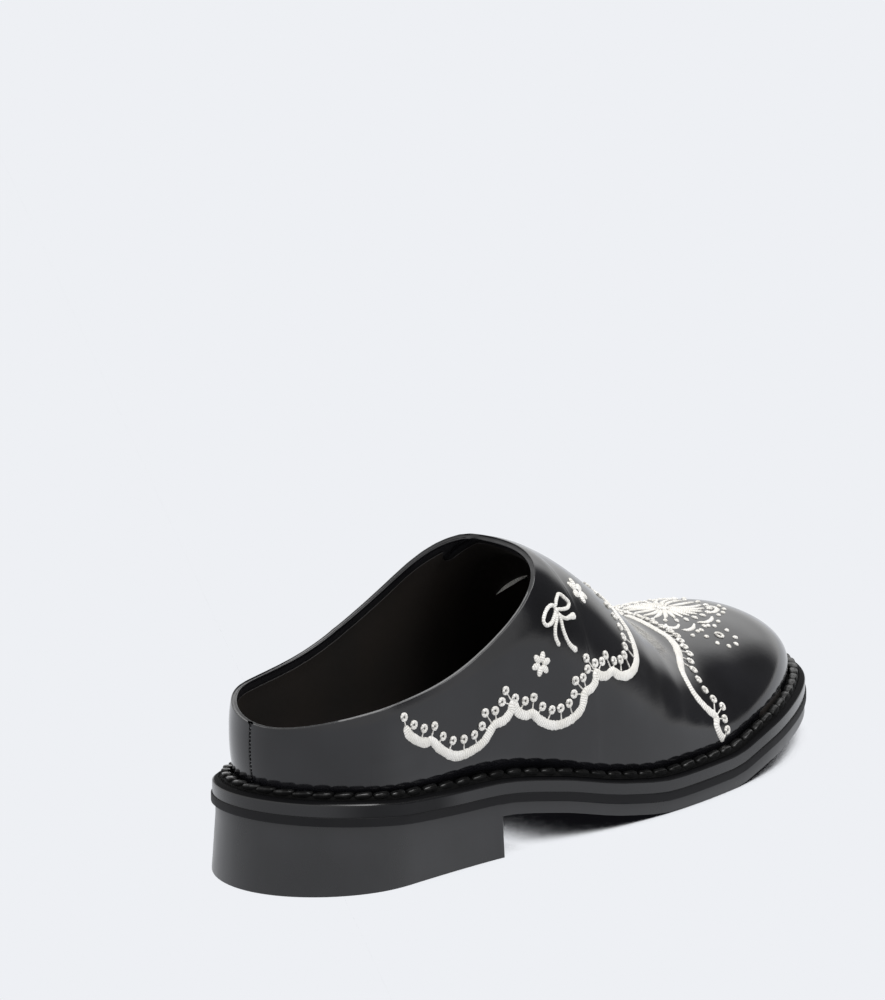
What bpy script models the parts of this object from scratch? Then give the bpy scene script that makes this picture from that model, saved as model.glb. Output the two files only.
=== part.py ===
"""Mule for the right foot: closed leather vamp and low back on a welted sole with a low block heel.

Metres. +X runs to the toe, +Y to the inner side of the foot, +Z up. The shoe stands on z = 0 on its heel
and on the flat spot under the ball. The origin is the middle of the heel's resting face.
"""

from collections import namedtuple

import bmesh
import bpy
import numpy as np

MM = 0.001

# Driving sizes
LENGTH = 268 * MM            # sole, back of heel to toe
BALL_WIDTH = 93 * MM         # sole at its widest
INSTEP_HEIGHT = 68 * MM      # upper over the welt's ledge, at 45% of the length
HEEL_HEIGHT = 18.4 * MM      # floor to the underside of the sole at the back
TOE_SPRING = 6.6 * MM        # floor to the underside of the sole at the toe
HEEL_LENGTH = 73 * MM        # back of the sole to the heel breast
HEEL_FLARE = 1.4 * MM        # how far the block widens from the strip down to the floor
HEEL_ROUND = 32 * MM         # length of the round at the back of the sole
TOE_ROUND = 74.8 * MM        # length of the round at the toe
HEEL_SQUARENESS = 2.0        # superellipse powers of the two rounds
TOE_SQUARENESS = 1.96

# Layers of the sole's edge, from the floor side up
OUTSOLE_THICK = 3.6 * MM
STRIP_THICK = 2.5 * MM
WELT_THICK = 3.6 * MM
SHOULDER_RISE = 0.9 * MM     # the welt rises from its edge to the ledge that carries the braid
SHOULDER_WIDTH = 1.6 * MM
EDGE_BEVEL = 0.5 * MM
WELT_INSET = 0.4 * MM        # the dull strip stands this far proud of the welt
OUTSOLE_INSET = 0.5 * MM     # and this far proud of the outsole in front of the heel

# Upper, insole and braid
WALL = 1.8 * MM              # leather with its lining
TURN_IN = 9 * MM             # lasting margin turned in under the insole
SIDE_SWELL = 1.5 * MM        # how far the walls swell out above the welt
SWELL_HEIGHT = 14 * MM
INSOLE_THICK = 2.6 * MM
BRAID_WIDTH = 4.0 * MM
BRAID_HEIGHT = 3.4 * MM
BRAID_PITCH = 8 * MM         # one lobe of the plait
BRAID_TWIST = 0.14           # sideways swing of the plait, share of its width
BRAID_DIP = 0.26             # dip between two lobes, share of its height
JOINT = 0.3 * MM             # glue line between pieces
BED_CLEARANCE = 0.8 * MM     # between the footbed and the sloping wall
BRAID_JOINT = 0.5 * MM       # the same beside the swelling wall

# Fineness of the faceted solids
SOLE_STATIONS = 44
BACK_STATIONS = 15
THROAT_STATIONS = 10
VAMP_STATIONS = 27
RIB_ROWS = 10
LOBE_STEPS = 4
BRAID_PROFILE = 5
THROAT_RUN = 46 * MM         # stretch behind the throat where sections crowd together
DENSE = 600                  # points on each side from which the edges are read
MERGE = 0.01 * MM

# Plan of the sole: middle line and half width, as shares of BALL_WIDTH
Plan = namedtuple("Plan", "at middle half")
PLAN = [
    Plan(0.00, 0.015, 0.322),
    Plan(0.12, 0.017, 0.351),
    Plan(0.27, -0.029, 0.353),
    Plan(0.42, -0.080, 0.384),
    Plan(0.56, -0.046, 0.463),
    Plan(0.68, 0.000, 0.500),
    Plan(0.80, 0.038, 0.494),
    Plan(0.90, 0.024, 0.428),
    Plan(1.00, 0.055, 0.401),
]

# Underside of the sole: shares of HEEL_HEIGHT and of TOE_SPRING
Rise = namedtuple("Rise", "at heel toe")
RISE = [
    Rise(0.00, 0.985, 0.00),
    Rise(0.07, 0.890, 0.00),
    Rise(0.14, 0.775, 0.00),
    Rise(0.21, 0.715, 0.00),
    Rise(0.27, 0.690, 0.00),
    Rise(0.36, 0.50, 0.00),
    Rise(0.46, 0.17, 0.00),
    Rise(0.55, 0.00, 0.00),
    Rise(0.66, 0.00, 0.00),
    Rise(0.74, 0.00, 0.54),
    Rise(0.83, 0.00, 0.89),
    Rise(0.92, 0.00, 1.00),
    Rise(1.00, 0.00, 0.98),
]

# Sections of the last: ridge height over the ledge (share of INSTEP_HEIGHT), ridge shift to the inner
# side (share of BALL_WIDTH) and fullness, the power of the section's round
Section = namedtuple("Section", "at height ridge fullness")
SECTIONS = [
    Section(0.00, 1.320, 0.034, 2.70),
    Section(0.20, 1.217, 0.051, 2.92),
    Section(0.35, 1.073, 0.052, 3.05),
    Section(0.45, 1.000, 0.046, 2.52),
    Section(0.55, 0.844, 0.070, 1.98),
    Section(0.65, 0.570, 0.088, 1.72),
    Section(0.75, 0.416, 0.086, 1.80),
    Section(0.85, 0.344, 0.077, 2.08),
    Section(0.93, 0.270, 0.067, 2.26),
    Section(1.00, 0.200, 0.060, 2.28),
]
HEEL_POLE = 0.14             # sections fan round these two places, shares of LENGTH
TOE_POLE = 0.86

# Collar: height over the ledge (share of INSTEP_HEIGHT); it meets the ridge at the throat
Collar = namedtuple("Collar", "at height")
COLLAR = [
    Collar(0.00, 0.271),
    Collar(0.10, 0.385),
    Collar(0.20, 0.467),
    Collar(0.30, 0.644),
    Collar(0.40, 0.942),
    Collar(0.50, 1.135),
    Collar(0.60, 1.100),
]

# Ledge: from the sole's edge in to the foot of the upper
Ledge = namedtuple("Ledge", "at width")
LEDGE = [
    Ledge(0.0, 7.1 * MM),
    Ledge(0.3, 5.2 * MM),
    Ledge(0.6, 5.1 * MM),
    Ledge(0.8, 5.3 * MM),
    Ledge(1.0, 6.4 * MM),
]

# Inset of the outsole under the strip: more round the heel
Inset = namedtuple("Inset", "at width")
OUTSOLE_EDGE = [
    Inset(0.00, HEEL_FLARE),
    Inset(0.26, HEEL_FLARE * 0.6),
    Inset(0.42, OUTSOLE_INSET),
    Inset(1.00, OUTSOLE_INSET),
]

OUTER, INNER = 0, 1          # the two sides: -Y and +Y


def column(table, name):
    return np.array([getattr(row, name) for row in table], float)


def spline(table, name, share):
    """Natural cubic through the rows of a table."""
    xs, ys = column(table, "at"), column(table, name)
    count = len(xs)
    step = np.diff(xs)
    matrix = np.eye(count)
    right = np.zeros(count)
    for i in range(1, count - 1):
        matrix[i, i - 1:i + 2] = step[i - 1], 2 * (step[i - 1] + step[i]), step[i]
        right[i] = 3 * ((ys[i + 1] - ys[i]) / step[i] - (ys[i] - ys[i - 1]) / step[i - 1])
    bend = np.linalg.solve(matrix, right)
    share = np.asarray(share, float)
    k = np.clip(np.searchsorted(xs, share) - 1, 0, count - 2)
    t = share - xs[k]
    slope = (ys[k + 1] - ys[k]) / step[k] - step[k] * (2 * bend[k] + bend[k + 1]) / 3
    return ys[k] + slope * t + bend[k] * t**2 + (bend[k + 1] - bend[k]) / (3 * step[k]) * t**3


def level_curve(table, name, share):
    """Cubic that never overshoots the rows, so level stretches stay level."""
    xs, ys = column(table, "at"), column(table, name)
    step = np.diff(xs)
    rate = np.diff(ys) / step
    slope = np.zeros(len(xs))
    slope[0], slope[-1] = rate[0], rate[-1]
    for i in range(1, len(xs) - 1):
        if rate[i - 1] * rate[i] > 0:
            before = 2 * step[i] + step[i - 1]
            after = step[i] + 2 * step[i - 1]
            slope[i] = (before + after) / (before / rate[i - 1] + after / rate[i])
    share = np.asarray(share, float)
    k = np.clip(np.searchsorted(xs, share) - 1, 0, len(xs) - 2)
    t = (share - xs[k]) / step[k]
    rows = ys[k] * (1 + 2 * t) * (1 - t)**2 + ys[k + 1] * t**2 * (3 - 2 * t)
    slopes = step[k] * (slope[k] * t * (1 - t)**2 + slope[k + 1] * t**2 * (t - 1))
    return rows + slopes


# Heights along the shoe

def underside(x):
    share = x / LENGTH
    return level_curve(RISE, "heel", share) * HEEL_HEIGHT + level_curve(RISE, "toe", share) * TOE_SPRING


def strip_base(x):
    return underside(x) + OUTSOLE_THICK + JOINT


def welt_base(x):
    return strip_base(x) + STRIP_THICK + JOINT


def ledge_height(x):
    return welt_base(x) + WELT_THICK + SHOULDER_RISE


def foot_height(x):
    return ledge_height(x) + JOINT


def roof_height(x):
    return foot_height(x) + spline(SECTIONS, "height", x / LENGTH) * INSTEP_HEIGHT


def collar_height(x):
    return foot_height(x) + spline(COLLAR, "height", x / LENGTH) * INSTEP_HEIGHT


# Edges in plan

def sole_sides():
    """Dense points of the sole's two sides, back to toe, with their outward normals."""
    turn = np.linspace(0, np.pi, DENSE)
    x = LENGTH * (0.5 - 0.5 * np.cos(turn))
    middle = spline(PLAN, "middle", x / LENGTH) * BALL_WIDTH
    half = spline(PLAN, "half", x / LENGTH) * BALL_WIDTH
    back = np.clip(1 - x / HEEL_ROUND, 0, 1)
    toe = np.clip(1 - (LENGTH - x) / TOE_ROUND, 0, 1)
    half = half * (1 - back**HEEL_SQUARENESS)**(1 / HEEL_SQUARENESS)
    half = half * (1 - toe**TOE_SQUARENESS)**(1 / TOE_SQUARENESS)
    sides = []
    for sign in (-1, 1):
        points = np.stack([x, middle + sign * half], 1)
        along = np.gradient(points, axis=0)
        along /= np.linalg.norm(along, axis=1)[:, None]
        normals = -sign * np.stack([along[:, 1], -along[:, 0]], 1)
        normals[0] = (-1, 0)
        normals[-1] = (1, 0)
        sides.append((points, normals))
    return sides


SIDES = sole_sides()


def inset_side(side, inset):
    """A side of the sole drawn in by inset, a number or a number for each dense point."""
    points, normals = SIDES[side]
    return points - normals * np.broadcast_to(inset, DENSE)[:, None]


def ledge_width():
    return level_curve(LEDGE, "width", SIDES[OUTER][0][:, 0] / LENGTH)


def outsole_inset():
    return level_curve(OUTSOLE_EDGE, "width", SIDES[OUTER][0][:, 0] / LENGTH)


def run_along(points):
    return np.concatenate([[0], np.cumsum(np.linalg.norm(np.diff(points, axis=0), axis=1))])


def even_stations(count, break_at=None):
    """Positions among the dense points, evenly spaced along the outer side, from back to toe.

    A station falls on the length break_at, for the heel breast.
    """
    run = run_along(SIDES[OUTER][0])
    places = np.interp(np.linspace(0, run[-1], count + 1), run, np.arange(DENSE))
    if break_at is not None:
        exact = np.interp(break_at, SIDES[OUTER][0][:, 0], np.arange(DENSE))
        places[np.argmin(abs(places - exact))] = exact
    return places


def at_places(points, places):
    whole = np.arange(DENSE)
    return np.stack([np.interp(places, whole, points[:, i]) for i in range(points.shape[1])], 1)


# Meshes

HEEL_MIDDLE = HEEL_LENGTH / 2
HEEL_CENTRE = float(spline(PLAN, "middle", HEEL_MIDDLE / LENGTH)) * BALL_WIDTH


def finish(name, bm, look, smooth_angle=0.6):
    """Object of a finished mesh, set so that the middle of the heel's resting face is the origin."""
    mesh = bpy.data.meshes.new(name)
    bm.to_mesh(mesh)
    bm.free()
    mesh.shade_smooth()
    mesh.set_sharp_from_angle(angle=smooth_angle)
    mesh.materials.append(look)
    piece = bpy.data.objects.new(name, mesh)
    bpy.context.scene.collection.objects.link(piece)
    piece.location = (-HEEL_MIDDLE, -HEEL_CENTRE, 0)
    return piece


def finish_solid(name, bm, look, smooth_angle=0.6):
    bmesh.ops.recalc_face_normals(bm, faces=bm.faces)
    return finish(name, bm, look, smooth_angle)


def material(name, colour, roughness):
    result = bpy.data.materials.new(name)
    result.use_nodes = True
    shader = result.node_tree.nodes["Principled BSDF"]
    shader.inputs["Base Color"].default_value = (*colour, 1)
    shader.inputs["Roughness"].default_value = roughness
    shader.inputs["Metallic"].default_value = 0
    return result


def ring_points(places, inset, height):
    """Points of one closed ring: back, outer side, toe, inner side. height is a function of x."""
    outer = at_places(inset_side(OUTER, inset), places)
    inner = at_places(inset_side(INNER, inset), places)[1:-1][::-1]
    flat = np.concatenate([outer, inner])
    return np.column_stack([flat, height(flat[:, 0])])


def add_ring(bm, points):
    return [bm.verts.new(point) for point in points]


def bridge(bm, lower, upper):
    count = len(lower)
    for i in range(count):
        j = (i + 1) % count
        bm.faces.new((lower[i], lower[j], upper[j], upper[i]))


def ladder(bm, ring, first=0):
    """Close a ring with rungs from the outer to the inner side, so that it bends only along X."""

    def opposite(i):
        return ring[(2 * SOLE_STATIONS - i) % (2 * SOLE_STATIONS)]

    for i in range(first, SOLE_STATIONS):
        corners = [ring[i], ring[i + 1], opposite(i + 1), opposite(i)]
        corners = [corner for k, corner in enumerate(corners) if corner not in corners[:k]]
        bm.faces.new(corners)


def layered_plate(name, rings, look):
    """A plate of the sole: rings from its top to its bottom, each an inset and a height function."""
    bm = bmesh.new()
    places = even_stations(SOLE_STATIONS)
    loops = [add_ring(bm, ring_points(places, inset, height)) for inset, height in rings]
    for upper, lower in zip(loops, loops[1:]):
        bridge(bm, lower, upper)
    ladder(bm, loops[0])
    ladder(bm, loops[-1])
    return finish_solid(name, bm, look)


def make_welt(look):
    ledge = WELT_INSET + SHOULDER_WIDTH
    return layered_plate("welt", [
        (ledge, ledge_height),
        (WELT_INSET + EDGE_BEVEL * 0.5, lambda x: ledge_height(x) - SHOULDER_RISE),
        (WELT_INSET, lambda x: ledge_height(x) - SHOULDER_RISE - EDGE_BEVEL),
        (WELT_INSET, welt_base),
    ], look)


def make_strip(look):
    return layered_plate("midsole_strip", [
        (0, lambda x: strip_base(x) + STRIP_THICK),
        (0, strip_base),
    ], look)


def make_outsole(look):
    """Outsole and block heel in one: the block goes down to the floor behind the breast."""
    bm = bmesh.new()
    places = even_stations(SOLE_STATIONS, HEEL_LENGTH)
    breast = int(np.argmin(abs(at_places(SIDES[OUTER][0], places)[:, 0] - HEEL_LENGTH)))
    inset = outsole_inset()
    top = add_ring(bm, ring_points(places, inset, lambda x: underside(x) + OUTSOLE_THICK))
    under = add_ring(bm, ring_points(places, inset, underside))
    bridge(bm, under, top)
    ladder(bm, top)
    ladder(bm, under, first=breast)

    floor_points = ring_points(places, 0, lambda x: 0 * x)
    count = len(top)
    heel = [i for i in range(count) if min(i, count - i) <= breast]
    floor = {}
    for i in heel:
        point = floor_points[i]
        if min(i, count - i) == breast:
            point[0] = under[i].co.x
        floor[i] = bm.verts.new(point)
    for i in heel:
        j = (i + 1) % count
        if j in floor:
            bm.faces.new((floor[i], floor[j], under[j], under[i]))
    outer, inner = breast, count - breast
    bm.faces.new((floor[outer], floor[inner], under[inner], under[outer]))
    bm.faces.new([floor[i] for i in sorted(heel, key=lambda i: (i + breast) % count)])
    return finish_solid("outsole", bm, look)


def make_insole(look):
    """Footbed on the turned-in edge of the upper, with the filler that lies inside that edge."""
    foot = ledge_width()
    bed = foot + WALL + BED_CLEARANCE
    filler = foot + TURN_IN + BED_CLEARANCE
    bed_base = WALL + JOINT * 1.5
    return layered_plate("insole", [
        (bed + EDGE_BEVEL, lambda x: foot_height(x) + bed_base + INSOLE_THICK),
        (bed, lambda x: foot_height(x) + bed_base + INSOLE_THICK - EDGE_BEVEL),
        (bed, lambda x: foot_height(x) + bed_base),
        (filler, lambda x: foot_height(x) + bed_base),
        (filler, foot_height),
    ], look)


def make_braid(look):
    """Plaited cord on the ledge: a closed half-round whose lobes swing from side to side."""
    wide = ledge_width() - BRAID_JOINT - BRAID_WIDTH / 2
    sides = [inset_side(OUTER, wide), inset_side(INNER, wide)[1:-1][::-1]]
    normals = np.concatenate([SIDES[OUTER][1], SIDES[INNER][1][1:-1][::-1]])
    path = np.concatenate(sides)
    closed = np.concatenate([path, path[:1]])
    closed_normals = np.concatenate([normals, normals[:1]])
    run = run_along(closed)
    lobes = round(run[-1] / BRAID_PITCH)
    steps = lobes * LOBE_STEPS
    bm = bmesh.new()
    rings = []
    for k in range(steps):
        here = run[-1] * k / steps
        centre = np.array([np.interp(here, run, closed[:, i]) for i in range(2)])
        out = np.array([np.interp(here, run, closed_normals[:, i]) for i in range(2)])
        out /= np.linalg.norm(out)
        phase = 2 * np.pi * k / LOBE_STEPS
        tall = BRAID_HEIGHT * (1 - BRAID_DIP * (0.5 - 0.5 * np.cos(phase)))
        half = BRAID_WIDTH / 2 * (1 - BRAID_TWIST * (0.5 - 0.5 * np.cos(phase)))
        swing = BRAID_WIDTH / 2 * BRAID_TWIST * (0.5 + 0.5 * np.sin(phase)) * 0.5
        base = ledge_height(centre[0]) + JOINT
        ring = []
        for i in range(BRAID_PROFILE):
            turn = np.pi * i / (BRAID_PROFILE - 1)
            across = half * np.cos(turn) + swing * np.sin(turn)
            flat = centre + out * across
            ring.append(bm.verts.new((flat[0], flat[1], base + tall * np.sin(turn))))
        rings.append(ring)
    for k in range(steps):
        ring, following = rings[k], rings[(k + 1) % steps]
        bridge(bm, ring, following)
    return finish_solid("welt_braid", bm, look, smooth_angle=1.2)


# Upper

def foot_side(side):
    return inset_side(side, ledge_width())


FEET = [foot_side(OUTER), foot_side(INNER)]


def rib_points(side, place, turns):
    """Points of one rib of the last, from the foot up to the ridge, for angles from 0 to a right angle."""
    foot = at_places(FEET[side], np.array([place]))[0]
    normal = at_places(SIDES[side][1], np.array([place]))[0]
    station = np.interp(place, np.arange(DENSE), SIDES[OUTER][0][:, 0])
    pole = np.clip(station, HEEL_POLE * LENGTH, TOE_POLE * LENGTH)
    ridge = np.array([pole, spline(SECTIONS, "ridge", pole / LENGTH) * BALL_WIDTH])
    power = 2 / level_curve(SECTIONS, "fullness", station / LENGTH)
    reach = 1 - np.cos(turns)**power
    flat = foot + (ridge - foot) * reach[:, None]
    base = foot_height(flat[:, 0])
    rise = (roof_height(flat[:, 0]) - base) * np.sin(turns)**power
    swell = 1 - (1 - np.clip(rise / SWELL_HEIGHT, 0, 1))**2
    flat = flat + normal * (SIDE_SWELL * swell * np.cos(turns))[:, None]
    return np.column_stack([flat, base + rise])


def throat_station():
    """Length at which the collar meets the ridge."""
    low, high = 0.3 * LENGTH, 0.6 * LENGTH
    for _ in range(40):
        middle = (low + high) / 2
        if collar_height(middle) < roof_height(middle):
            low = middle
        else:
            high = middle
    return low


def rib(side, place, behind_throat):
    """RIB_ROWS + 1 points evenly spaced up a rib, which ends at the collar or on the ridge."""
    turns = np.linspace(0, np.pi / 2, 240)
    points = rib_points(side, place, turns)
    if behind_throat:
        over = points[:, 2] - collar_height(points[:, 0])
        stop = int(np.argmax(over > 0))
        part = over[stop - 1] / (over[stop - 1] - over[stop])
        end = points[stop - 1] + (points[stop] - points[stop - 1]) * part
        points = np.vstack([points[:stop], end])
    run = run_along(points)
    even = np.linspace(0, run[-1], RIB_ROWS + 1)
    return np.stack([np.interp(even, run, points[:, i]) for i in range(3)], 1)


def upper_places():
    """Places of the ribs: even round the back, crowding towards the throat, even to the toe."""
    whole = np.arange(DENSE)
    run = run_along(SIDES[OUTER][0])
    throat = np.interp(np.interp(throat_station(), SIDES[OUTER][0][:, 0], whole), whole, run)
    back = np.linspace(0, throat - THROAT_RUN, BACK_STATIONS, endpoint=False)
    crowd = throat - THROAT_RUN * (1 - np.arange(THROAT_STATIONS + 1) / THROAT_STATIONS)**2
    front = np.linspace(throat, run[-1], VAMP_STATIONS + 1)[1:]
    runs = np.concatenate([back, crowd, front])
    return np.interp(runs, run, whole), BACK_STATIONS + THROAT_STATIONS


def make_upper(look):
    """One sheet of ribs, turned in at its foot; Solidify gives it the wall."""
    bm = bmesh.new()
    places, throat = upper_places()
    for side in (OUTER, INNER):
        margin = at_places(inset_side(side, ledge_width() + TURN_IN), places)
        columns = []
        for k, place in enumerate(places):
            turned = (*margin[k], foot_height(margin[k][0]))
            points = [turned, *rib(side, place, k < throat)]
            columns.append([bm.verts.new(point) for point in points])
        for here, following in zip(columns, columns[1:]):
            for i in range(RIB_ROWS + 1):
                corners = (here[i], here[i + 1], following[i + 1], following[i])
                bm.faces.new(corners if side == INNER else corners[::-1])
    bmesh.ops.remove_doubles(bm, verts=bm.verts, dist=MERGE)
    upper = finish("upper", bm, look)
    wall = upper.modifiers.new("wall", "SOLIDIFY")
    wall.thickness = WALL
    wall.offset = -1
    wall.use_even_offset = True
    return upper


def main():
    for old in list(bpy.data.objects):
        bpy.data.objects.remove(old)
    leather = material("polished_leather", (0.012, 0.012, 0.014), 0.16)
    edge = material("sole_edge", (0.020, 0.020, 0.022), 0.28)
    dull = material("dull_strip", (0.012, 0.012, 0.014), 0.55)
    cord = material("braid_leather", (0.008, 0.008, 0.009), 0.35)
    lining = material("lining", (0.020, 0.014, 0.010), 0.6)
    make_outsole(edge)
    make_strip(dull)
    make_welt(edge)
    make_braid(cord)
    make_insole(lining)
    make_upper(leather)


main()
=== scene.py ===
"""Looks of the black leather mule: polished upper with cream embroidery, plaited welt cord, layered sole.

Metres, in the frame of the CAD. +X runs to the toe, -Y is the outer side of this right shoe, +Z is up.
"""

import math
import random

import bmesh
import bpy
from mathutils import Matrix, Vector
from mathutils.bvhtree import BVHTree
from mathutils.kdtree import KDTree


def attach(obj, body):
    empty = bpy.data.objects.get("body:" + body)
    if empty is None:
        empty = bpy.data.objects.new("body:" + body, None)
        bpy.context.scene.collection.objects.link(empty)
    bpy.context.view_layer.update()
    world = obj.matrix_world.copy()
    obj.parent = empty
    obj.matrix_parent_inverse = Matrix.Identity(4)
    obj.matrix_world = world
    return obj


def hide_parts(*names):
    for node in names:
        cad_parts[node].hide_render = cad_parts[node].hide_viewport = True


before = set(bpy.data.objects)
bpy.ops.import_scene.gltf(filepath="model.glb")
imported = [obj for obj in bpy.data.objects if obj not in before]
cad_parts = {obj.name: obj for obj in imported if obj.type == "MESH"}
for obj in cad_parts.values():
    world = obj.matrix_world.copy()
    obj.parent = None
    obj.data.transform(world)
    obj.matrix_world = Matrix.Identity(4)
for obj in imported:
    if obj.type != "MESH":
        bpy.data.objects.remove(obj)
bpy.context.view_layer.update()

MM = 0.001
UP = Vector((0, 0, 1))

# Layers of the sole, as the CAD has them
JOINT = 0.3 * MM
STRIP_THICK = 2.5 * MM
WELT_THICK = 3.6 * MM
WELT_INSET = 0.4 * MM
UNDER_UPPER = 4 * MM  # how far the ledge runs on under the upper
SHOULDER_RISE = 0.9 * MM
SHOULDER_WIDTH = 1.6 * MM
OUTSOLE_THICK = 3.6 * MM
HEEL_BREAST = 37 * MM
HEEL_INSET = 0.05 * MM  # at the floor
EDGE_STEPS = 240  # corners round a layer's edge
SOLE_BEVEL = 0.45 * MM
SOLE_SHARP = 0.7  # angle from which an edge of the sole is sharp

# Ledge from the sole's edge to the foot of the upper: x, width
LEDGE = [(-36, 7.1), (44.4, 5.2), (124.8, 5.1), (178.4, 5.3), (232, 6.4)]

# Inset of the outsole under the strip: x, inset
OUTSOLE_EDGE = [(-36, 1.4), (33.7, 0.84), (76.6, 0.5), (232, 0.5)]

# Core of the shoe from which the embroidery is charted: x, y, z in mm. A spot on the upper is its x and its
# turn, the angle round the core from the side (0) up to the ridge (90).
CORE = [
    (-36, 0, 34), (0, 0, 31), (40, -6, 27), (80, -6, 18), (110, -3, 14), (150, 2, 14), (190, 3, 18), (232, 4, 20),
]
CURVE_STEPS = 12  # points of a smooth line from each given point to the next

OUTER, INNER = -1, 1  # the two sides: -Y and +Y


def between(rows, x, column=1):
    """Value at x, read between the rows of a table."""
    if x <= rows[0][0]:
        return rows[0][column]
    for low, high in zip(rows, rows[1:]):
        if x <= high[0]:
            part = (x - low[0]) / max(high[0] - low[0], 1e-9)
            return low[column] + (high[column] - low[column]) * part
    return rows[-1][column]


def table(rows, x, column=1):
    """Value in metres of a table in mm, at x in metres."""
    return between(rows, x / MM, column) * MM


def core(x):
    x = min(max(x, CORE[0][0] * MM), CORE[-1][0] * MM)
    return Vector((x, table(CORE, x, 1), table(CORE, x, 2)))


def smooth_line(points, count, closed=False):
    """Evenly spaced points on a smooth curve through the given ones."""
    last = len(points) - 1
    dense = []
    for i in range(last + 1 if closed else last):
        if closed:
            a, b, c, d = (points[(i + k) % (last + 1)] for k in (-1, 0, 1, 2))
        else:
            a, b, c, d = (points[min(max(i + k, 0), last)] for k in (-1, 0, 1, 2))
        square, cube = 2 * a - 5 * b + 4 * c - d, 3 * b - a - 3 * c + d
        for k in range(CURVE_STEPS):
            t = k / CURVE_STEPS
            dense.append(0.5 * (2 * b + (c - a) * t + square * t**2 + cube * t**3))
    dense.append(points[0] if closed else points[-1])
    run = ways_along(dense)
    steps = count if closed else count - 1
    result, k = [], 0
    for i in range(count):
        here = run[-1] * i / steps
        while k < len(run) - 2 and run[k + 1] < here:
            k += 1
        part = (here - run[k]) / max(run[k + 1] - run[k], 1e-12)
        result.append(dense[k].lerp(dense[k + 1], min(max(part, 0), 1)))
    return result


def ways_along(points):
    """How far along a line each of its points is."""
    ways = [0]
    for a, b in zip(points, points[1:]):
        ways.append(ways[-1] + (b - a).length)
    return ways


# Pieces and how they are made

def merged(node):
    """A copy of a CAD node's mesh with its corners joined."""
    bm = bmesh.new()
    bm.from_mesh(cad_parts[node].data)
    bmesh.ops.remove_doubles(bm, verts=bm.verts, dist=0.005 * MM)
    bm.normal_update()
    return bm


def as_mesh(name, bm):
    mesh = bpy.data.meshes.new(name)
    bm.to_mesh(mesh)
    bm.free()
    return mesh


def add_object(name, data):
    made = bpy.data.objects.new(name, data)
    bpy.context.scene.collection.objects.link(made)
    return made


def corners_in(geom):
    return [part for part in geom if isinstance(part, bmesh.types.BMVert)]


def span(bm, corners):
    """A face between corners, of which some may be the same."""
    return bmesh.ops.contextual_create(bm, geom=list(dict.fromkeys(corners)))["faces"]


def sharp_edges(bm, angle):
    return [edge for edge in bm.edges if len(edge.link_faces) == 2 and edge.calc_face_angle() > angle]


def round_edges(bm, edges, offset):
    bmesh.ops.bevel(bm, geom=edges, offset=offset, segments=3, affect="EDGES", profile=0.5, material=-1,
                    clamp_overlap=True)


def search_tree(points):
    tree = KDTree(len(points))
    for number, point in enumerate(points):
        tree.insert(point, number)
    tree.balance()
    return tree


def piece(name, bm, look, stands_for=(), smooth_angle=None):
    """A visible piece. stands_for: the CAD nodes that it replaces."""
    mesh = as_mesh(name, bm)
    mesh.shade_smooth()
    if smooth_angle is not None:
        mesh.set_sharp_from_angle(angle=smooth_angle)
    mesh.materials.append(look)
    made = add_object(name, mesh)
    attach(made, "root")
    for node in stands_for:
        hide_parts(node)
    return made


class Tray:
    """Many small shapes that end as one mesh."""

    def __init__(self):
        self.meshes = []

    def shape(self):
        bm = bmesh.new()
        return bm, bm.verts.layers.float.new("thread_run")

    def put(self, bm):
        bmesh.ops.recalc_face_normals(bm, faces=bm.faces)
        self.meshes.append(as_mesh("shape", bm))

    def joined(self):
        bm = bmesh.new()
        for mesh in self.meshes:
            bm.from_mesh(mesh)
            bpy.data.meshes.remove(mesh)
        return bm


def subdivide(made, levels):
    """Subdivide a piece for good, so that its fine shape can be worked afterwards."""
    smoother = made.modifiers.new("smooth", "SUBSURF")
    smoother.levels = smoother.render_levels = levels
    bpy.context.view_layer.update()
    worked = bpy.data.meshes.new_from_object(made.evaluated_get(bpy.context.evaluated_depsgraph_get()))
    old = made.data
    made.modifiers.clear()
    made.data = worked
    bpy.data.meshes.remove(old)
    worked.shade_smooth()


# Outline of the sole

def sole_outline():
    """The rim of the midsole strip's top: closed, from the back round the outer side to the toe."""
    bm = merged("midsole_strip")
    top = {face for face in bm.faces if face.normal.z > 0.5}
    links = {}
    for edge in bm.edges:
        if sum(face in top for face in edge.link_faces) == 1:
            a, b = edge.verts
            links.setdefault(a, []).append(b)
            links.setdefault(b, []).append(a)
    start = min(links, key=lambda vert: vert.co.x)
    rim, here = [start], min(links[start], key=lambda vert: vert.co.y)
    while here is not start:
        rim.append(here)
        here = next(vert for vert in links[here] if vert is not rim[-2])
    points = [vert.co.copy() for vert in rim]
    bm.free()
    return points


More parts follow.
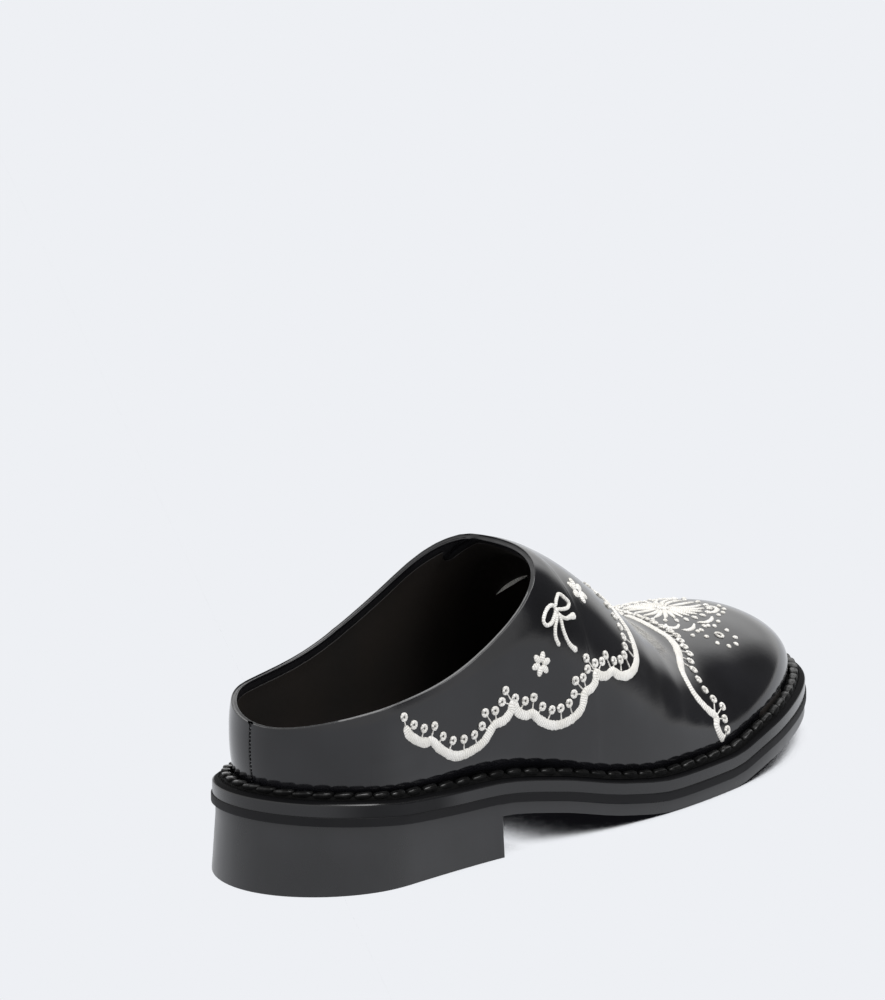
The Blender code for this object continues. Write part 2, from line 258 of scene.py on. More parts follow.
class Outline:
    """The sole's outline, from which every layer and the cord are set in."""

    def __init__(self, points):
        self.flat = smooth_line([Vector((p.x, p.y, 0)) for p in points], 720, closed=True)
        self.heights = sorted((p.x, p.z) for p in points)
        count = len(self.flat)
        self.normals = []
        for i in range(count):
            along = self.flat[(i + 2) % count] - self.flat[i - 2]
            self.normals.append(Vector((along.y, -along.x, 0)).normalized())

    def strip_top(self, x):
        return between(self.heights, x)

    def ledge(self, x):
        return self.strip_top(x) + JOINT + WELT_THICK + SHOULDER_RISE

    def at(self, share, inset):
        """Point at a share of the way round, drawn in by inset, with its outward normal."""
        count = len(self.flat)
        place = (share % 1) * count
        k, part = int(place) % count, place - int(place)
        flat = self.flat[k].lerp(self.flat[(k + 1) % count], part)
        normal = self.normals[k].lerp(self.normals[(k + 1) % count], part).normalized()
        return flat - normal * inset, normal

    def ring(self, count, inset, height):
        """Points of one layer's edge. inset is a number or a function of x, height a function of x."""
        points = []
        for i in range(count):
            flat, normal = self.at(i / count, 0)
            back = inset(flat.x) if callable(inset) else inset
            flat = flat - normal * back
            points.append(Vector((flat.x, flat.y, height(flat.x))))
        return points


def swept_rings(bm, rings):
    """A closed ring extruded from each row of points to the next. Returns the first and the last row."""
    first = bmesh.ops.create_circle(bm, segments=len(rings[0]), radius=1)["verts"]
    for vert, point in zip(first, rings[0]):
        vert.co = point
    row = first
    for points in rings[1:]:
        edges = [bm.edges.get((row[i], row[(i + 1) % len(row)])) for i in range(len(row))]
        row = in_ring_order(row, corners_in(bmesh.ops.extrude_edge_only(bm, edges=edges)["geom"]))
        for vert, point in zip(row, points):
            vert.co = point
    return first, row


def in_ring_order(row, raised):
    """The extruded corners in the order of the row that they came from."""
    raised = set(raised)
    return [next(other for other in (edge.other_vert(vert) for edge in vert.link_edges) if other in raised)
            for vert in row]


def close_across(bm, row):
    """Rungs from the outer to the inner side of a ring, so that it bends only along the shoe."""
    for i in range(len(row) // 2):
        span(bm, (row[i], row[i + 1], row[-(i + 1) % len(row)], row[-i % len(row)]))


def lifted(surface, rise):
    """Height at x, a rise in mm over a surface."""
    return lambda x: surface(x) + rise * MM


def sole_layer(name, look, node, rows, wax_and_ledge_shade=None):
    """A layer of the sole from rows of (inset, height) from its top to its underside. Its last argument gives each
    row's wax and, where that is low, a painted shade.
    """
    bm = bmesh.new()
    wax_shade_layer = bm.verts.layers.float.new("wax_and_ledge_shade")
    first, last = swept_rings(bm, [OUTLINE.ring(EDGE_STEPS, inset, height) for inset, height in rows])
    for k, vert in enumerate(bm.verts):
        vert[wax_shade_layer] = wax_and_ledge_shade[k // EDGE_STEPS] if wax_and_ledge_shade else 1
    close_across(bm, first)
    close_across(bm, last)
    bmesh.ops.recalc_face_normals(bm, faces=bm.faces)
    return piece(name, bm, look, (node,), smooth_angle=SOLE_SHARP)


def ledge_width(x):
    return table(LEDGE, x)


def make_welt(look):
    """Welt with a flat dry ledge in painted shade, a fine groove along the cord, a short shoulder and an edge with
    wax.
    """
    top, base = OUTLINE.ledge, OUTLINE.strip_top
    edge = lambda x: top(x) - SHOULDER_RISE
    shoulder = WELT_INSET + SHOULDER_WIDTH
    # Each row is set in by mm from a line round the sole, at mm over a surface, and has its share of wax; where
    # that is low the welt is also painted darker as shade
    rows = [
        (shoulder, 0.75, top, 0, 0), (shoulder, 0.60, top, -0.28, 0), (shoulder, 0.40, top, -0.28, 0),
        (shoulder, 0.25, top, 0, 0), (shoulder, 0, top, -0.03, 0), (shoulder, -0.5, top, -0.20, 0),
        (WELT_INSET, 0.50, edge, 0.16, 0.25), (WELT_INSET, 0.22, edge, -0.02, 0.7),
        (WELT_INSET, 0.05, edge, -0.22, 1), (WELT_INSET, 0, edge, -0.45, 1), (WELT_INSET, 0, base, 0.10, 1),
        (WELT_INSET, 1.2, base, 0.10, 0),
    ]
    profile = [(lambda x: ledge_width(x) + UNDER_UPPER, top)]
    profile += [(start + inset * MM, lifted(surface, rise)) for start, inset, surface, rise, _ in rows]
    return sole_layer("welt_edge", look, "welt", profile, wax_and_ledge_shade=[0] + [row[-1] for row in rows])


def make_strip(look):
    top = OUTLINE.strip_top
    base = lambda x: top(x) - STRIP_THICK
    rows = [(1.2, top, 0.12), (0.22, top, 0.12), (0.03, top, -0.06), (0, top, -0.3),
            (0, base, 0.3), (0.03, base, 0.06), (0.22, base, -0.12), (1.2, base, -0.12)]
    profile = [(inset * MM, lifted(surface, rise)) for inset, surface, rise in rows]
    return sole_layer("midsole_strip_edge", look, "midsole_strip", profile)


def make_outsole(look):
    """Outsole and heel block in one: the bottom is extruded down to the floor behind the breast."""
    bm = bmesh.new()
    count = EDGE_STEPS
    sole_top = lambda x: OUTLINE.strip_top(x) - STRIP_THICK - 0.2 * MM
    underside = lambda x: OUTLINE.strip_top(x) - STRIP_THICK - JOINT - OUTSOLE_THICK
    inset = lambda x: table(OUTSOLE_EDGE, x)
    top = OUTLINE.ring(count, inset, sole_top)
    low = OUTLINE.ring(count, inset, underside)
    half = count // 2
    breast = min(range(1, half), key=lambda i: abs(low[i].x - HEEL_BREAST))
    across = min(range(half + 1, count), key=lambda i: abs(low[i].x - HEEL_BREAST))
    for points in (top, low):
        for i in (breast, across):
            points[i].x = HEEL_BREAST
    first, last = swept_rings(bm, [top, low])
    close_across(bm, first)
    join_sides(bm, last[breast:half + 1], last[across:half - 1:-1])
    faces = join_sides(bm, last[breast::-1], last[across:] + last[:1])
    floor = OUTLINE.ring(count, HEEL_INSET, lambda _: 0)
    place = {vert: k for k, vert in enumerate(last)}
    for vert in corners_in(bmesh.ops.extrude_face_region(bm, geom=faces)["geom"]):
        above = min((edge.other_vert(vert) for edge in vert.link_edges if edge.other_vert(vert) in place),
                    key=lambda other: (other.co - vert.co).length)
        k = place[above]
        vert.co = floor[k].copy()
        if k in (breast, across):
            vert.co.x = HEEL_BREAST
    bmesh.ops.delete(bm, geom=[face for face in faces if face.is_valid], context="FACES")
    bmesh.ops.recalc_face_normals(bm, faces=bm.faces)
    round_edges(bm, sharp_edges(bm, SOLE_SHARP), SOLE_BEVEL)
    return piece("outsole_and_heel", bm, look, ("outsole",), smooth_angle=SOLE_SHARP)


def join_sides(bm, outer, inner):
    """Rungs between two runs of corners. They may start or end in the same corner."""
    made = []
    for corners in zip(outer, outer[1:], inner[1:], inner):
        made += span(bm, corners)
    return made


# Plaited cord

LOBES = 90
LOBE_LENGTH = 6.0 * MM
LOBE_WIDTH = 3.0 * MM
LOBE_HEIGHT = 2.1 * MM
LOBE_LIFT = 1.15 * MM  # its middle over the ledge
LOBE_START = 0.3  # the first lobe's place, share of a lobe
LOBE_SLANT = 0.06  # turn of a lobe against the cord's run
LOBE_TILT = 0.09  # rise of a lobe's front end
LOBE_SHEAR = 0.45  # how far its inner side leads its outer side, share of its width
LOBE_FULLNESS = 0.62
SLANT_VARIES = 0.04
SIZE_VARIES = (0.95, 1.05)

# Core of the cord: corners round it, half its width, its height, and its section as shares of the two
HEART_STEPS = 340
HEART_HALF = 1.45 * MM
HEART_HEIGHT = 1.5 * MM
HEART_SECTION = [(1, 0), (0.8, 0.6), (0, 0.86), (-0.8, 0.6), (-1, 0)]

# Foot of the upper to the middle of the cord: x, way
CORD_BACK = [(-36, 2.3), (140, 2.3), (165, 1.9), (215, 1.8), (232, 2.0)]


def pillow(tray, centre, along, across, length, width, height, fullness=0.8, rings=7, segments=12, shear=0.0):
    """A rounded lobe: a ball drawn out to the given sizes, squarer than an egg. Its run is the height on it."""
    bm, layer = tray.shape()
    for vert in bmesh.ops.create_uvsphere(bm, u_segments=segments, v_segments=rings, radius=1)["verts"]:
        x, y, z = (math.copysign(abs(v)**fullness, v) for v in vert.co)
        vert.co = (centre + along * (z * length / 2 - x * shear * width / 2) + across * (x * width / 2)
                   + UP * (y * height / 2))
        vert[layer] = y
    tray.put(bm)


def cord_inset(x):
    """From the sole's edge in to the middle of the cord."""
    return ledge_width(x) - table(CORD_BACK, x)


def make_cord(look):
    """Plaited cord on the ledge: a core with flat slanted lobes that lap over each other."""
    tray = Tray()
    bm, layer = tray.shape()
    heart = []
    for share, rise in HEART_SECTION:
        heart.append(OUTLINE.ring(HEART_STEPS, lambda x, share=share: cord_inset(x) - share * HEART_HALF,
                                  lambda x, rise=rise: OUTLINE.ledge(x) + rise * HEART_HEIGHT))
    swept_rings(bm, heart)
    for vert in bm.verts:
        vert[layer] = -1
    tray.put(bm)
    rand = random.Random(3)
    for k in range(LOBES):
        share = (k + LOBE_START) / LOBES
        edge, normal = OUTLINE.at(share, 0)
        flat, _ = OUTLINE.at(share, cord_inset(edge.x))
        along = UP.cross(normal)
        slant = Matrix.Rotation(-LOBE_SLANT + rand.uniform(-SLANT_VARIES, SLANT_VARIES), 3, "Z")
        slope = (OUTLINE.ledge(flat.x + along.x * MM) - OUTLINE.ledge(flat.x - along.x * MM)) / (2 * MM)
        run = (slant @ (along + UP * (slope + LOBE_TILT))).normalized()
        centre = Vector((flat.x, flat.y, OUTLINE.ledge(flat.x) + LOBE_LIFT))
        size = rand.uniform(*SIZE_VARIES)
        pillow(tray, centre, run, slant @ normal, LOBE_LENGTH, LOBE_WIDTH * size, LOBE_HEIGHT * size,
               fullness=LOBE_FULLNESS, rings=8, segments=14, shear=LOBE_SHEAR)
    return piece("plaited_cord", tray.joined(), look, ("welt_braid",))


# Upper

SEAM_Y = 5.6 * MM  # back seam, beside the middle of the heel
SEAM_REACH = 12 * MM  # how far in front of the back edge the seam's marks matter

# Tuck of the leather at the welt: x, depth at the outer and at the inner side, and the height that it takes
TUCK = [
    (-36, 0.6, 0.6, 2.6), (0, 0.8, 0.8, 3.0), (14, 1.3, 1.2, 4.4), (30, 2.1, 1.8, 6.2), (48, 2.2, 1.8, 6.8),
    (70, 1.9, 1.6, 5.4), (92, 1.3, 1.2, 4), (112, 0.8, 0.8, 3), (140, 0.8, 0.8, 3), (165, 1, 1, 3.6),
    (205, 1.1, 1, 4.2), (232, 1, 1, 4),
]
ROLL = 0.95 * MM  # how far the collar turns in
ROLL_HEIGHT = 8 * MM
RIM_ANGLE = 0.95  # only edges sharper than this belong to a rim
RIM_BEVEL = 0.36 * MM
LONG_RUN = 30  # edges in a run that goes round the shoe
SHORT_BRANCH = 5  # edges in a branch that is left out of it
COLLAR_RISE = 10 * MM  # the collar is all of the rim that is this high above the ledge
GROOVE_HALF = 0.70 * MM  # groove along the middle of the collar's top
GROOVE_DEPTH = 0.55 * MM
GROOVE_REACH = 1.2 * MM  # from the collar's edges
HEART_ENDS = (-6 * MM, 190 * MM)  # the core between these sees the whole inner face
THROAT_ENDS = (62 * MM, 96 * MM)  # inner corner of the throat, along the shoe
THROAT_LOW = 50 * MM
THROAT_PASSES = 12

# Soft creases of the worn leather: x and turn of its two ends, side, width and depth in mm
CREASES = [
    (113, 16, 123, 60, OUTER, 7.5, 0.16),
    (124, 12, 132, 46, OUTER, 6.5, 0.10),
    (113, 18, 123, 60, INNER, 7.5, 0.16),
    (124, 14, 132, 46, INNER, 6.5, 0.10),
    (-14, 4, 8, 8, OUTER, 6.0, 0.12),
]
TURN_LENGTH = 0.75  # mm on the leather to a degree of turn
RIDGE_TURN = 60  # a crease beyond this turn crosses to the other side


def make_upper(look):
    """The CAD's wall with its rims rounded, subdivided and worked."""
    bm = merged("upper")
    bmesh.ops.join_triangles(bm, faces=bm.faces, angle_face_threshold=0.6, angle_shape_threshold=1.2)
    rim = long_runs(sharp_edges(bm, RIM_ANGLE))
    half_way = lambda edge: (edge.verts[0].co + edge.verts[1].co) / 2
    collar = {edge for edge in rim if half_way(edge).z > OUTLINE.ledge(half_way(edge).x) + COLLAR_RISE}
    edges = [(edge.verts[0].co.copy(), edge.verts[1].co.copy()) for edge in collar]
    middle = rim_middle(bm, collar)
    mark_inner_side(bm)
    ease_throat(bm, rim)
    round_edges(bm, rim, RIM_BEVEL)
    upper = piece("leather_upper", bm, look, ("upper",))
    subdivide(upper, 2)
    work_upper(upper.data, edges, middle)
    return upper


def long_runs(edges):
    """Only the sharp edges that run on round the shoe, without short ones between facets and short branches."""
    left, kept = set(edges), set()
    while left:
        run = [left.pop()]
        for edge in run:
            for other in (other for vert in edge.verts for other in vert.link_edges):
                if other in left:
                    left.discard(other)
                    run.append(other)
        if len(run) > LONG_RUN:
            kept.update(run)
    ways = lambda vert: [edge for edge in vert.link_edges if edge in kept]
    for tip in {vert for edge in kept for vert in edge.verts if len(ways(vert)) == 1}:
        branch = []
        while len(ways(tip)) == 1 and len(branch) < SHORT_BRANCH:
            edge = ways(tip)[0]
            branch.append(edge)
            kept.discard(edge)
            tip = edge.other_vert(tip)
        if len(ways(tip)) == 0 or len(branch) == SHORT_BRANCH:
            kept.update(branch)
    return [edge for edge in edges if edge in kept]


def mark_inner_side(bm):
    """Marks the wall's inner face: all that is seen from the core of the shoe."""
    inner = bm.verts.layers.float.new("inner_side")
    bm.faces.index_update()
    tree = BVHTree.FromBMesh(bm)
    for face in bm.faces:
        middle = face.calc_center_median()
        heart = core(min(max(middle.x, HEART_ENDS[0]), HEART_ENDS[1]))
        if tree.ray_cast(heart, middle - heart)[2] == face.index:
            for vert in face.verts:
                vert[inner] = 1


def ease_throat(bm, rim):
    """Eases the folds between the inner facets beside the throat. Its edge stays as it is."""
    inner = bm.verts.layers.float["inner_side"]
    fixed = {vert for edge in rim for vert in edge.verts}
    bm.normal_update()
    corner = [vert for vert in bm.verts if vert not in fixed and THROAT_ENDS[0] < vert.co.x < THROAT_ENDS[1]
              and vert.co.z > THROAT_LOW
              and (vert[inner] > 0.5 or vert.normal.dot(vert.co - core(vert.co.x)) < 0)]
    for vert in corner:
        vert[inner] = 1
    for _ in range(THROAT_PASSES):
        bmesh.ops.smooth_vert(bm, verts=corner, factor=0.5, use_axis_x=True, use_axis_y=True, use_axis_z=True)


def rim_middle(bm, rim):
    """Points along the middle of the collar's top, between its outer and its inner edge."""
    points = []
    for face in bm.faces:
        if sum(edge in rim for edge in face.edges) >= 2:
            rungs = [(edge.verts[0].co + edge.verts[1].co) / 2 for edge in face.edges if edge not in rim]
            if len(rungs) == 2:
                points += [rungs[0].lerp(rungs[1], k / 24) for k in range(25)]
    return points


def work_upper(mesh, rim, middle):
    """Groove, roll, tuck and creases, and for the leather's look the way to the collar and to the back seam."""
    tree = search_tree([a.lerp(b, k / 8) for a, b in rim for k in range(9)])
    groove = search_tree(middle)
    depth = mesh.attributes.new("collar_depth", "FLOAT", "POINT")
    seam = mesh.attributes.new("seam_way", "FLOAT", "POINT")
    inner = mesh.attributes["inner_side"].data
    moved = []
    for vert, facing in zip(mesh.vertices, mesh.vertex_normals):
        normal = facing.vector
        inside = inner[vert.index].value > 0.5
        way = tree.find(vert.co)[2]
        depth.data[vert.index].value = (way if inside else -way) / MM
        back = vert.co.x < -SEAM_REACH
        seam.data[vert.index].value = (vert.co.y - SEAM_Y) / MM if back and not inside else 40
        if way < GROOVE_REACH:
            nick = groove.find(vert.co)[2] / GROOVE_HALF
            vert.co -= normal * GROOVE_DEPTH * max(1 - nick * nick, 0)
        out = vert.co - core(vert.co.x)
        out.x = 0
        roll = out.normalized() * ROLL * max(1 - way / ROLL_HEIGHT, 0)**2
        crease = 0 if inside else crease_depth(vert.co)
        moved.append(vert.co - normal * crease - tuck(vert.co, normal, inside) - roll)
    for vert, place in zip(mesh.vertices, moved):
        vert.co = place


def tuck(place, normal, inside):
    """How far the wall's outer face draws in just above the welt."""
    flat = Vector((normal.x, normal.y, 0))
    rise = place.z - OUTLINE.ledge(place.x) - JOINT
    high = table(TUCK, place.x, 3)
    if inside or rise > high or flat.length < 0.3:
        return Vector((0, 0, 0))
    deep = table(TUCK, place.x, 1 if place.y < 0 else 2)
    return flat.normalized() * deep * (1 - max(rise, 0) / high)**2


def turn_of(point):
    """Side and turn in degrees of a point round the core."""
    way = point - core(point.x)
    side = OUTER if way.y < 0 else INNER
    return side, math.degrees(math.atan2(way.z, abs(way.y)))


def crease_depth(point):
    side, turn = turn_of(point)
    here = Vector((point.x / MM, turn * TURN_LENGTH))
    total = 0
    for x0, turn0, x1, turn1, crease_side, width, depth in CREASES:
        if side != crease_side and min(turn0, turn1) < RIDGE_TURN:
            continue
        a, b = Vector((x0, turn0 * TURN_LENGTH)), Vector((x1, turn1 * TURN_LENGTH))
        along = b - a
        part = min(max((here - a).dot(along) / along.length_squared, 0), 1)
        away = (here - a - along * part).length / width
        if away < 1:
            total += depth * MM * (1 - away * away)**2 * (1 - (2 * part - 1)**6)
    return total


class Chart:
    """Finds the leather's outer face from the core of the shoe."""

    def __init__(self, upper):
        mesh = upper.data
        depth = mesh.attributes["collar_depth"].data
        outer = [face for face in mesh.polygons if all(depth[i].value < 0.4 for i in face.vertices)]
        self.tree = BVHTree.FromPolygons([vert.co.copy() for vert in mesh.vertices],
                                         [list(face.vertices) for face in outer])

    def spot(self, x, turn, side):
        """Place and normal on the leather at x in mm and a turn in degrees. Over 90 it is past the ridge."""
        centre = core(x * MM)
        angle = math.radians(turn)
        ray = Vector((0, side * math.cos(angle), math.sin(angle)))
        place, normal = self.tree.ray_cast(centre, ray)[:2]
        if place is None:
            place, normal = self.settle(centre + ray * 40 * MM)
        return place, normal if normal.dot(ray) > 0 else -normal

    def settle(self, point):
        return self.tree.find_nearest(point)[:2]


# Embroidery

BAND_WIDTH, BAND_HEIGHT = 3.2 * MM, 0.52 * MM
RING_RADIUS, RING_THICK = 0.90 * MM, 0.58 * MM
STEM_WIDTH, STEM_HEIGHT = 0.5 * MM, 0.30 * MM
STEM_FROM, STEM_TO = 1.6 * MM, 7 * MM  # a ring has a stem when its way to the band is between these
BOW_HEIGHT, CURL_HEIGHT, RAY_HEIGHT = 0.62 * MM, 0.45 * MM, 0.42 * MM
PETALS = 6

# Bands and rings of the quarter and the cap: x in mm and turn in degrees, from the first stitch on
QUARTER_EDGE = [
    (0.5, 29.4), (2, 24.9), (5.9, 20.8), (9.5, 19.4), (11.4, 20.2), (15, 14.9), (20.4, 9.8), (24.7, 9.6),
    (29.3, 12.3), (33, 16.2), (36, 22.7), (37.5, 24.9), (41, 26.4), (43.7, 30.4), (44.6, 34.2), (46.7, 29.9),
    (49.7, 28), (52.4, 28.6), (55.3, 25.2), (59.4, 22.7), (63.6, 22.8), (68.3, 25.2), (71.9, 29), (73.4, 33.5),
    (74, 35.2), (77.1, 36.8), (79.3, 39.4), (80, 42.2), (81.8, 40.7), (84.9, 40.1), (88.2, 41.1), (90.7, 39.4),
    (94.6, 38.5), (99.8, 40), (104.4, 44.2), (107, 49.4), (109, 55.1), (109.6, 59.6), (110.4, 64),
    (112.4, 70), (115, 78), (116.5, 90),
]
QUARTER_RINGS = [
    (0.2, 33.4), (4, 29.4), (8.2, 27.1), (12.6, 27.7), (16, 21.9), (20.1, 18.9), (24.6, 18.9), (28.9, 20.6),
    (32, 24.8), (33.4, 31.2), (37.4, 31.6), (40.2, 35.2), (41.9, 39.6), (45.6, 36.1), (49.5, 34.5), (52.9, 35.5),
    (56.2, 31.4), (59.9, 29.6), (63.4, 30), (66.9, 31.7), (69.1, 35.1), (70.2, 39.8), (73.6, 40.6), (76.1, 43.3),
    (76.3, 46.8), (80.2, 45.2), (83.8, 45.1), (86.4, 46.8), (90.1, 44.4), (93.8, 44.4), (97.1, 45.8), (99.8, 48.9),
    (101.9, 52.5), (103.6, 56.6), (104.8, 61), (106.2, 66), (108.4, 72), (110.6, 78.5), (111.8, 85),
]
CAP_EDGE = [
    (151.5, 90), (151.2, 80), (150.6, 70.1), (150.4, 62.8), (150.3, 57.8), (149.4, 53.9), (147.2, 48.2),
    (142.2, 41.6), (135.6, 34.9), (133.4, 28.9), (133.2, 23.1), (134.8, 18), (137.3, 13.6), (139.6, 10.6),
    (138.4, 7.4), (139.3, 3.4), (141.3, 0.2),
]
CAP_RINGS = [
    (155.2, 86), (155.2, 79.5), (155, 73), (154.9, 67), (154.9, 61), (154.6, 55.8), (153, 51.4),
    (151.2, 46.8), (149.6, 41.6), (146.2, 37.6), (143.5, 32.9), (141.6, 27.8), (141.1, 22.4), (142.5, 17.4),
    (145.1, 13.2), (143.6, 8.4), (143.6, 3.9),
]

# Bow: each ribbon's rows are x, turn and width in mm
BOW = [
    [(67.5, 60.4, 1), (66.6, 61.6, 1.2), (63.9, 60.9, 1.3), (61.7, 59.4, 1.3), (60.6, 57.9, 1.2),
     (61.6, 56.8, 1.3), (63.9, 57.2, 1.4), (65.8, 58.7, 1.3), (67.4, 60.2, 1.0)],
    [(67.6, 60.9, 1), (69.4, 62.9, 1.2), (72.2, 64.7, 1.2), (74.4, 63.9, 1.3), (75.7, 62.7, 1.3),
     (74.1, 61.2, 1.3), (70.9, 60.6, 1.2), (68.2, 60.7, 1.0)],
    [(67.6, 60, 1), (69, 58.8, 1.2), (71.2, 58.2, 1.2), (74, 58.7, 1.7), (76.9, 59.3, 2.8)],
    [(67.5, 59.9, 1), (66.6, 58, 1.2), (65.2, 56.2, 1.2), (64.4, 54.1, 1.2), (64.7, 52.3, 1.4),
     (65.6, 50.9, 1.6)],
    [(67.9, 59.9, 1), (68.5, 58, 1.1), (68.4, 55.6, 1.2), (69, 53, 1.2), (70.4, 50.8, 1.5),
     (73.0, 49.1, 2.2)],
]

# Flowers: x, turn, length of a petal and turn of the first petal
FLOWERS = [(56.9, 46.7, 3.4, 0.15), (86.4, 67.4, 4.2, 0.4)]

# Spray on the vamp, across the ridge: middle, then the rays' lengths in mm and their turns in degrees
SPRAY_MIDDLE = 172.0
SPRAY_RAYS = [
    (18, 0), (17, 13), (15.5, 27), (13.5, 42), (11.5, 60), (10, 80), (15.5, 180), (15.5, 168), (14.5, 155),
    (12.5, 140), (11, 122), (10, 102),
]
SPRAY_LEAF = 1.5  # width of a leaf in mm
RAY_STEPS = 22

# Curls beside the spray: rows of x, turn and width in mm
CURLS = [
    [(181.5, 66.5, 0.8), (185.5, 65, 1.6), (189.5, 68, 1.9), (190, 73, 1.6), (187, 75.5, 0.8)],
    [(163.5, 64.5, 0.8), (159.5, 62, 1.6), (156.8, 65, 1.7), (158.5, 69, 0.8)],
    [(171, 60.5, 0.7), (174.5, 57.5, 1.5), (178.5, 58.2, 1.6), (181, 61.2, 0.7)],
    [(169.5, 60.5, 0.7), (166, 57, 1.5), (162.2, 56.8, 1.5), (160.5, 59.2, 0.7)],
]
DOT_WHEELS = [(171.5, 44.2, 5.9, 9)]  # x, turn, radius in mm and number of dots round a ring
DOTS = [
    (161, 51.5), (165.5, 53), (184.5, 60), (188.5, 61.5), (192.5, 66), (194, 73), (155.5, 74.5),
    (173, 54), (179.5, 54.2),
]


SUNK = 0.2 * MM  # how far a band's foot is sunk into the leather


def stitched_band(tray, places, widths, height, blunt=0.35):
    """A raised band of satin stitches: its rounded section is extruded from place to place."""
    bm, layer = tray.shape()
    count = len(places)
    shape = [-1, -0.86, -0.5, 0, 0.5, 0.86, 1]
    row, walked = None, 0
    for k, (place, normal) in enumerate(places):
        ahead = places[min(k + 1, count - 1)][0] - places[max(k - 1, 0)][0]
        across = normal.cross(ahead).normalized()
        if k:
            walked += (place - places[k - 1][0]).length
        end = min(k, count - 1 - k)
        taper = min(1, blunt + (1 - blunt) * end / 2)
        half = widths[k] / 2 * taper
        if row is None:
            row = [bm.verts.new((0, 0, 0)) for _ in shape]
            for pair in zip(row, row[1:]):
                bm.edges.new(pair)
        else:
            edges = [bm.edges.get(pair) for pair in zip(row, row[1:])]
            row = in_ring_order(row, corners_in(bmesh.ops.extrude_edge_only(bm, edges=edges)["geom"]))
        for vert, share in zip(row, shape):
            high = (height + SUNK) * (1 - abs(share)**2.2)**0.5 * taper - SUNK
            vert.co = place + across * (half * share) + normal * high
            vert[layer] = walked / MM
    bmesh.ops.holes_fill(bm, edges=bm.edges, sides=0)
    tray.put(bm)


def band_on_leather(tray, chart, rows, side, height, width=0, step=0.7 * MM, ragged=0.08, seed=1, thicker=1.0):
    """A band through charted rows. A row may carry its own width."""
    knots = [chart.spot(row[0], row[1], side)[0] for row in rows]
    ways = ways_along(knots)
    widths = [(way, row[2] * MM if len(row) > 2 else width) for way, row in zip(ways, rows)]
    dense = smooth_line(knots, max(int(ways[-1] / step), 6))
    rand = random.Random(seed)
    places, breadth = [], []
    for k, point in enumerate(dense):
        places.append(chart.settle(point))
        wide = between(widths, ways[-1] * k / (len(dense) - 1))
        breadth.append(thicker * wide * (1 + rand.uniform(-ragged, ragged)))
    stitched_band(tray, places, breadth, height)
    return [place for place, _ in places]


def leather_frame(normal):
    along = Vector((1, 0, 0)) - normal * normal.x
    along.normalize()
    return along, normal.cross(along)


def stitched_ring(tray, spot, radius, thick, rand):
    """An eyelet worked round with thread: a circle spun into a flat ring on the leather."""
    bm, layer = tray.shape()
    place, normal = spot
    along, across = leather_frame(normal)
    section = bmesh.ops.create_circle(bm, segments=6, radius=thick)["verts"]
    for vert in section:
        out, high = vert.co.x, vert.co.y
        vert.co = place + along * (radius + out) + normal * (high * 0.8 + 0.12 * MM)
    bmesh.ops.spin(bm, geom=section + list(bm.edges), cent=place, axis=normal, dvec=(0, 0, 0), angle=2 * math.pi,
                   steps=12, use_merge=True, use_duplicate=False)
    stretch = rand.uniform(0.92, 1.08)
    lean = rand.uniform(-0.6, 0.6)
    axis = along * math.cos(lean) + across * math.sin(lean)
    for vert in bm.verts:
        way = vert.co - place
        vert.co += axis * (way.dot(axis) * (stretch - 1))
        vert[layer] = math.atan2(way.dot(across), way.dot(along)) * radius / MM
    tray.put(bm)


def raised_dot(tray, spot, long, wide, turn, height=0.55 * MM, shift=0.0):
    """A padded oval of thread, such as a petal: a ball flattened on to the leather."""
    bm, layer = tray.shape()
    place, normal = spot
    along, across = leather_frame(normal)
    axis = along * math.cos(turn) + across * math.sin(turn)
    side = normal.cross(axis)
    middle = place + axis * shift
    ball = bmesh.ops.create_uvsphere(bm, u_segments=10, v_segments=6, radius=1)["verts"]
    for vert in ball:
        x, y, z = vert.co
        vert.co = middle + axis * (z * long / 2) + side * (x * wide / 2) + normal * (y * height)
        vert[layer] = z * long / 2 / MM
    tray.put(bm)


def make_embroidery(chart, side, look):
    """All the thread work on one side of the shoe."""
    tray = Tray()
    rand = random.Random(7 if side == OUTER else 11)
    edges = []
    for rows, seed in ((QUARTER_EDGE, 2), (CAP_EDGE, 5)):
        edges.append(band_on_leather(tray, chart, rows, side, BAND_HEIGHT, BAND_WIDTH, ragged=0.10, seed=seed))
    for rings, edge in ((QUARTER_RINGS, edges[0]), (CAP_RINGS, edges[1])):
        for x, turn in rings:
            spot = chart.spot(x, turn, side)
            stitched_ring(tray, spot, RING_RADIUS, RING_THICK, rand)
            foot = min(edge, key=lambda point: (point - spot[0]).length)
            way = foot - spot[0]
            if STEM_FROM < way.length < STEM_TO:
                stem = [chart.settle(spot[0] + way * part) for part in (1.2 * MM / way.length, 0.6, 0.95)]
                stitched_band(tray, stem, [STEM_WIDTH] * 3, STEM_HEIGHT, blunt=1)
    for ribbon in BOW:
        band_on_leather(tray, chart, ribbon, side, BOW_HEIGHT, step=0.45 * MM, thicker=1.08)
    raised_dot(tray, chart.spot(67.6, 60.2, side), 2.4 * MM, 1.9 * MM, 0.5, height=0.8 * MM)
    for x, turn, long, first in FLOWERS:
        spot = chart.spot(x, turn, side)
        for k in range(PETALS):
            raised_dot(tray, spot, long * MM, long * 0.66 * MM, first + k * math.pi / 3, shift=long * 0.64 * MM)
    make_spray(tray, chart, side)
    return piece("embroidery_outer_side" if side == OUTER else "embroidery_inner_side", tray.joined(), look)


